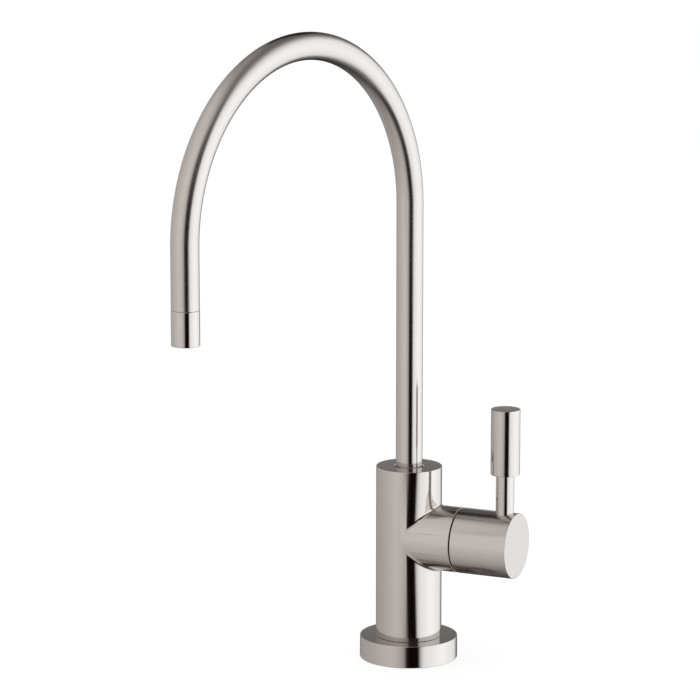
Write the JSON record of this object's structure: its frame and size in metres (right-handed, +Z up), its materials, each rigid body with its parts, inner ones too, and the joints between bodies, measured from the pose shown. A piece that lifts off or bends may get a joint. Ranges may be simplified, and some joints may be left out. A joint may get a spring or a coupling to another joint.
{
  "type": "drinking water tap",
  "caption": "Slim satin nickel drinking water tap: round column on a flange, swivelling swan-neck spout and a side lever that turns a ceramic disc cartridge.",
  "frame": {"origin": "on the deck, at the centre of the flange's underside, on the column's axis", "axes": "+Z up along the column; the spout reaches along -Y; the lever's barrel points along +X, turned 13.3 degrees towards +Y"},
  "size_m": [0.0644, 0.1556, 0.2938],
  "materials": {
    "satin_nickel": "brushed satin nickel plate on brass",
    "polished_nickel": "polished nickel plate on brass",
    "raw_brass": "turned brass",
    "stainless_steel": "plain stainless steel",
    "black_rubber": "moulded nitrile rubber",
    "black_acetal": "moulded black acetal",
    "white_acetal": "moulded white acetal",
    "ceramic": "lapped white alumina, opaque"
  },
  "bodies": {
    "tap_body": {"base_flange": "satin_nickel", "base_gasket": "black_rubber", "shank": "raw_brass", "deck_washer": "black_rubber", "clamp_washer": "stainless_steel", "mounting_nut": "raw_brass", "body": "satin_nickel", "swivel_bush": "black_acetal", "cartridge_body": "raw_brass", "cartridge_o_ring": "black_rubber", "seat_seal": "black_rubber", "fixed_disc": "ceramic", "slip_washer": "white_acetal"},
    "spout": {"spout_tube": "satin_nickel", "spout_tail": "raw_brass", "upper_o_ring": "black_rubber", "lower_o_ring": "black_rubber", "snap_ring": "stainless_steel", "nozzle_sleeve": "polished_nickel", "nozzle_washer": "black_rubber", "stream_straightener": "white_acetal"},
    "handle": {"handle_hub": "satin_nickel", "lever_rod": "satin_nickel", "lever_grip": "satin_nickel", "grub_screw": "stainless_steel", "spindle": "raw_brass", "spindle_o_ring": "black_rubber", "spindle_clip": "stainless_steel", "moving_disc": "ceramic"}
  },
  "joints": [
    {"name": "spout_swivel", "type": "hinge", "parent": "tap_body", "child": "spout", "pos_m": [0, 0, 0.0744], "axis": [0, 0, 1], "continuous": true},
    {"name": "handle_turn", "type": "hinge", "parent": "tap_body", "child": "handle", "pos_m": [0, 0, 0.0476], "axis": [0.9732, 0.23, 0], "range_deg": [0, 90]}
  ]
}
